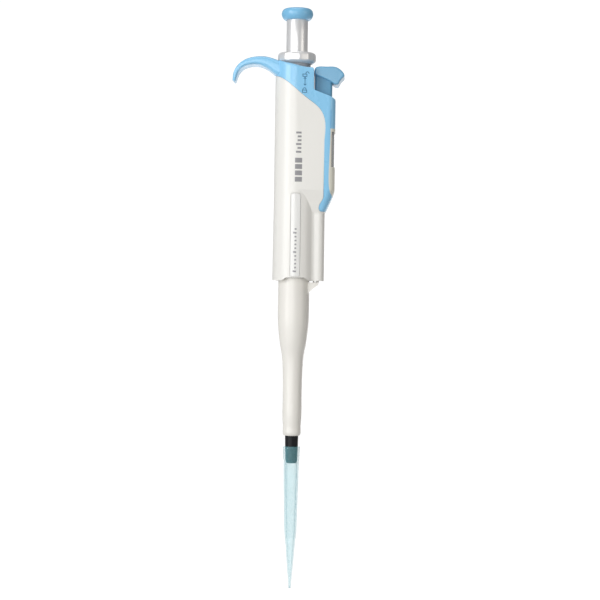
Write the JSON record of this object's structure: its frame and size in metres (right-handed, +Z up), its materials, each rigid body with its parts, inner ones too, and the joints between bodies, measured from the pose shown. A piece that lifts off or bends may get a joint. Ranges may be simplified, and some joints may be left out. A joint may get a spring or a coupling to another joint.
{
  "type": "adjustable pipette",
  "caption": "Hand-held adjustable air-displacement pipette with finger hook, sprung plunger, volume ring, tip ejector and a fitted disposable tip.",
  "frame": {"origin": "centre of the tip's orifice", "axes": "+Z up along the plunger's axis, -X towards the finger hook, +X towards the display and ejector button"},
  "size_m": [0.0588, 0.0228, 0.3048],
  "materials": {
    "white_shell": "moulded, satin gloss",
    "blue_cover": "moulded, gloss",
    "cream_bezel": "fine satin",
    "dark_window": "polished, smoked",
    "label_clear": "polished",
    "inner_grey": "moulded",
    "bright_steel": "drawn",
    "number_drum": "printed",
    "bearing_white": "machined",
    "spring_steel": "drawn wire",
    "black_shaft": "satin",
    "seal_rubber": "greased",
    "thumb_blue": "gloss",
    "thumb_disc": "gloss",
    "polished_steel": "polished",
    "piston_steel": "ground and polished",
    "neck_grey": "satin",
    "gear_brass": "machined",
    "ring_metal": "polished, faceted",
    "stem_blue": "satin",
    "sleeve_ivory": "satin gloss",
    "tip_clear": "translucent"
  },
  "bodies": {
    "root": {"handle_shell": "white_shell", "hook_cover": "blue_cover", "display_bezel": "cream_bezel", "display_window": "dark_window", "label_window": "label_clear", "inner_frame": "inner_grey", "counter_frame": "bright_steel", "guide_rods": "bright_steel", "fixed_zero_drum": "number_drum", "dial_bush": "bearing_white", "stop_washer": "bright_steel", "blowout_spring": "spring_steel", "shaft_nut": "inner_grey", "nozzle_shaft": "black_shaft", "piston_seal": "seal_rubber", "seal_retainer": "bearing_white"},
    "plunger": {"thumb_button": "thumb_blue", "button_disc": "thumb_disc", "plunger_tube": "polished_steel", "piston_rod": "bright_steel", "rod_collar": "bright_steel", "piston": "piston_steel", "main_spring": "spring_steel"},
    "dial": {"dial_sleeve": "neck_grey", "lead_screw": "gear_brass", "dial_gear": "gear_brass"},
    "ring": {"adjust_ring": "ring_metal"},
    "nut": {"volume_nut": "gear_brass"},
    "tens": {"counter_gear": "gear_brass", "counter_shaft": "bright_steel", "tens_wheel": "number_drum"},
    "hundreds": {"hundreds_wheel": "number_drum"},
    "thousands": {"thousands_wheel": "number_drum"},
    "ejector": {"ejector_button": "blue_cover", "ejector_stem": "stem_blue", "ejector_bar": "bright_steel", "ejector_rod": "bright_steel", "spring_clip": "spring_steel", "ejector_spring": "spring_steel", "ejector_sleeve": "sleeve_ivory"},
    "tip": {"pipette_tip": "tip_clear"}
  },
  "joints": [
    {"name": "plunger_press", "type": "slide", "parent": "root", "child": "plunger", "axis": [0, 0, -1], "range_m": [0, 0.0165], "stiffness_N_per_m": 250, "springref_m": -0.008, "deforming": ["main_spring"]},
    {"name": "volume_turn", "type": "hinge", "parent": "root", "child": "dial", "pos_m": [0, 0, 0.25], "axis": [0, 0, 1], "range_deg": [-3240, 0]},
    {"name": "ring_lock", "type": "slide", "parent": "dial", "child": "ring", "axis": [0, 0, -1], "range_m": [0, 0.0016]},
    {"name": "nut_travel", "type": "slide", "parent": "root", "child": "nut", "axis": [0, 0, 1], "range_m": [-0.0142, 0]},
    {"name": "tens_turn", "type": "hinge", "parent": "root", "child": "tens", "pos_m": [0.012, 0, 0.23], "axis": [0, 0, 1], "range_deg": [0, 3240]},
    {"name": "hundreds_turn", "type": "hinge", "parent": "root", "child": "hundreds", "pos_m": [0.012, 0, 0.23], "axis": [0, 0, 1], "range_deg": [0, 324]},
    {"name": "thousands_turn", "type": "hinge", "parent": "root", "child": "thousands", "pos_m": [0.012, 0, 0.23], "axis": [0, 0, 1], "range_deg": [0, 32.4]},
    {"name": "ejector_press", "type": "slide", "parent": "root", "child": "ejector", "axis": [0, 0, -1], "range_m": [0, 0.007], "stiffness_N_per_m": 600, "springref_m": -0.006, "deforming": ["ejector_spring"]},
    {"name": "tip_release", "type": "slide", "parent": "root", "child": "tip", "axis": [0, 0, -1], "range_m": [0, 0.0101]}
  ],
  "couplings": [
    {"joint": "nut_travel", "follows": "volume_turn", "m_per_rad": 0.00025},
    {"joint": "tens_turn", "follows": "volume_turn", "ratio": -1},
    {"joint": "hundreds_turn", "follows": "volume_turn", "ratio": -0.1},
    {"joint": "thousands_turn", "follows": "volume_turn", "ratio": -0.01},
    {"joint": "tip_release", "follows": "ejector_press", "ratio": 1.4286}
  ]
}
